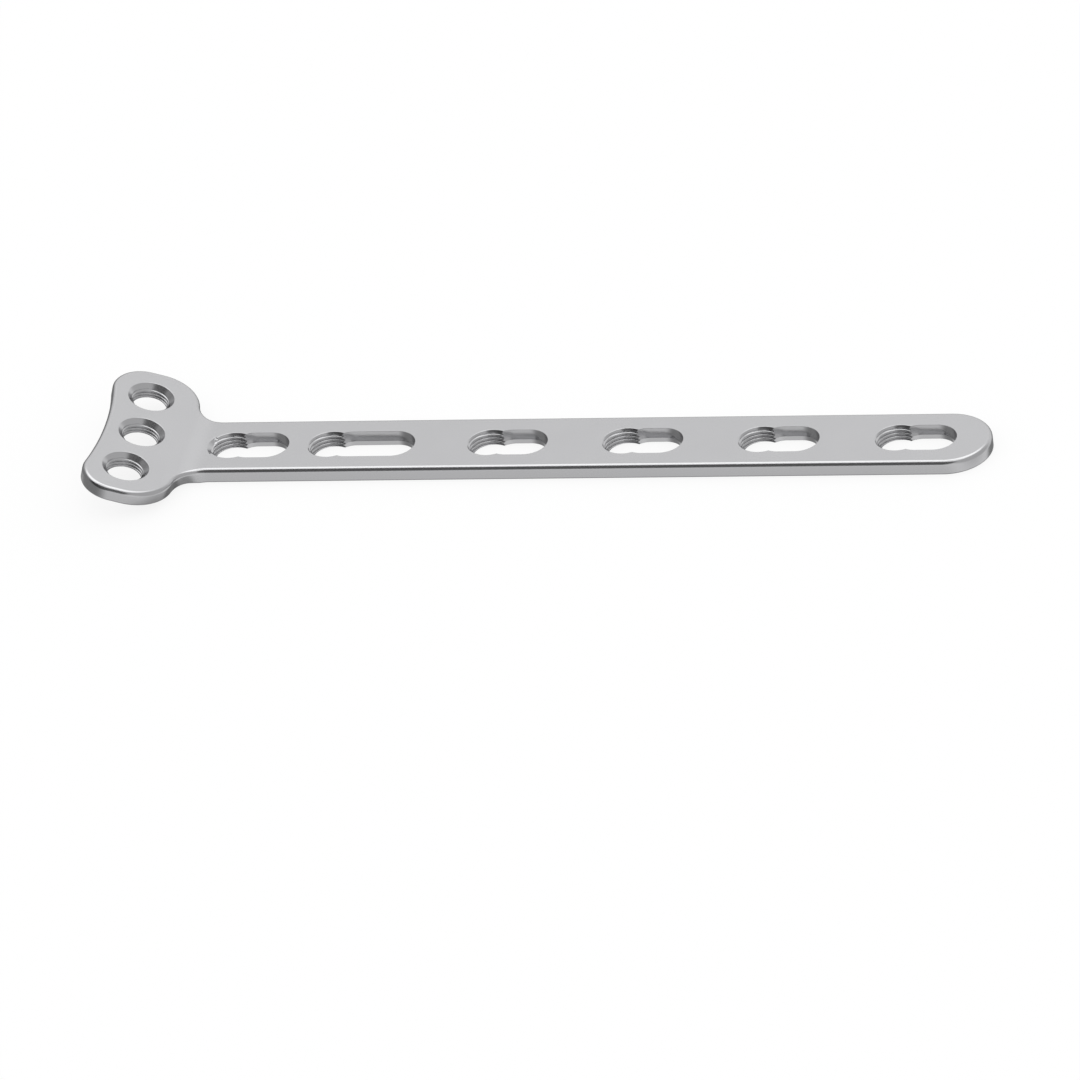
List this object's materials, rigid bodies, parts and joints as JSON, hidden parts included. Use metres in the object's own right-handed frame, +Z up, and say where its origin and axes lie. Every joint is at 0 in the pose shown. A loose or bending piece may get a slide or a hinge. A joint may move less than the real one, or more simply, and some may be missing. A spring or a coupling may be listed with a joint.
{
  "type": "orthopedic bone plate",
  "caption": "Flat metal bone plate: a long straight shaft with combined threaded and slotted holes, and a wider T-shaped head bent up, with countersunk threaded holes.",
  "frame": {"origin": "centre of the bounding box, on the plane of the shaft's flat underside", "axes": "+X along the shaft towards its rounded tip, +Y across the plate, +Z up, out of the side that the screw heads enter; the head is at the -X end and bent up"},
  "size_m": [0.1014, 0.024, 0.005],
  "materials": {
    "plate": "smooth satin grey implant steel, unpolished top face"
  },
  "bodies": {
    "root": {"bone_plate": "plate"}
  },
  "joints": []
}
